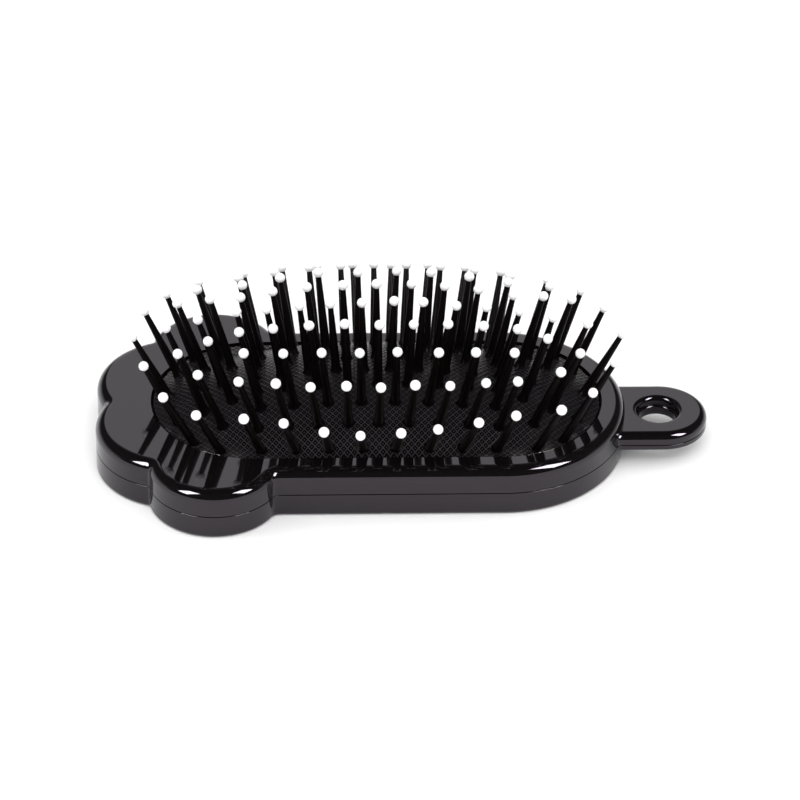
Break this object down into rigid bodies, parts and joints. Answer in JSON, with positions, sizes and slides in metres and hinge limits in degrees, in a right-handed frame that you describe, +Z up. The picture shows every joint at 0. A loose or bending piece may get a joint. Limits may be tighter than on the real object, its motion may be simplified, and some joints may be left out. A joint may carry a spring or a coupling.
{
  "type": "folding hairbrush with mirror",
  "caption": "Flat paw-shaped folding hairbrush: cushioned pin half over a mirror half that swivels out about a ring tab to become the handle.",
  "frame": {"origin": "on the surface that the closed brush lies on, at the middle of its length and width", "axes": "+X from the toes to the ring tab, +Y to the back, +Z up out of the pins"},
  "size_m": [0.13, 0.0692, 0.0367],
  "materials": {
    "black_gloss": "high gloss moulded plastic",
    "black_inner": "matt moulded plastic",
    "black_rubber": "fine diamond lattice",
    "pin_black": "satin nylon",
    "tip_white": "smooth white bead",
    "steel": "plain",
    "tape": "matt foam",
    "mirror": "silvered",
    "washer": "matt"
  },
  "bodies": {
    "brush_half": {"brush_shell": "black_gloss", "cushion": "black_rubber", "cushion_frame": "black_inner", "back_plate": "black_inner", "plate_screws": "steel", "pins_row_1": "pin_black", "pins_row_2": "pin_black", "pins_row_3": "pin_black", "pins_row_4": "pin_black", "pins_row_5": "pin_black", "pins_row_6": "pin_black", "pins_row_7": "pin_black", "pins_row_8": "pin_black", "pins_row_9": "pin_black", "pins_end_left": "pin_black", "pins_end_right": "pin_black", "tips_row_1": "tip_white", "tips_row_2": "tip_white", "tips_row_3": "tip_white", "tips_row_4": "tip_white", "tips_row_5": "tip_white", "tips_row_6": "tip_white", "tips_row_7": "tip_white", "tips_row_8": "tip_white", "tips_row_9": "tip_white", "tips_end_left": "tip_white", "tips_end_right": "tip_white", "pivot_bush": "black_gloss", "friction_washer": "washer"},
    "mirror_half": {"mirror_shell": "black_gloss", "mirror_frame": "black_inner", "mirror_tape": "tape", "mirror_glass": "mirror"}
  },
  "joints": [
    {"name": "mirror_swivel", "type": "hinge", "parent": "brush_half", "child": "mirror_half", "pos_m": [0.0545, 0, 0.0046], "axis": [0, 0, 1], "range_deg": [-180, 180]}
  ]
}
